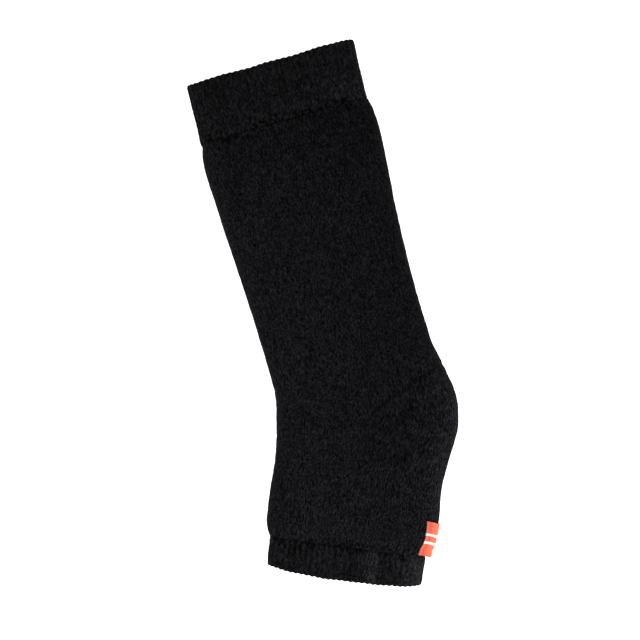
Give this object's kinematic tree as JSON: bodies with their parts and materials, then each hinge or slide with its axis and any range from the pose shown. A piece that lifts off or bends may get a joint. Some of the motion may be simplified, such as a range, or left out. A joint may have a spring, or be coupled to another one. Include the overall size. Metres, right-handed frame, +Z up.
{
  "type": "elbow support sleeve",
  "caption": "Knitted pull-on elbow support sleeve lying flat, with ribbed cuffs, a bent plush tube, a knitted elbow pocket and a folded edge label.",
  "frame": {"origin": "middle of the sleeve's box in plan, on the surface that it lies on", "axes": "+Y towards the upper-arm end, +X towards the point of the elbow, +Z up from the surface"},
  "size_m": [0.1436, 0.289, 0.02],
  "materials": {
    "rib_knit": "black elastic rib knit, matt",
    "plush_knit": "black plush-lined fine jersey, soft and fuzzy",
    "woven_tape": "coral-red woven label tape, slight satin sheen"
  },
  "bodies": {
    "root": {"upper_cuff": "rib_knit", "sleeve_tube": "plush_knit", "elbow_pocket": "plush_knit", "lower_cuff": "rib_knit", "side_label": "woven_tape"}
  },
  "joints": []
}
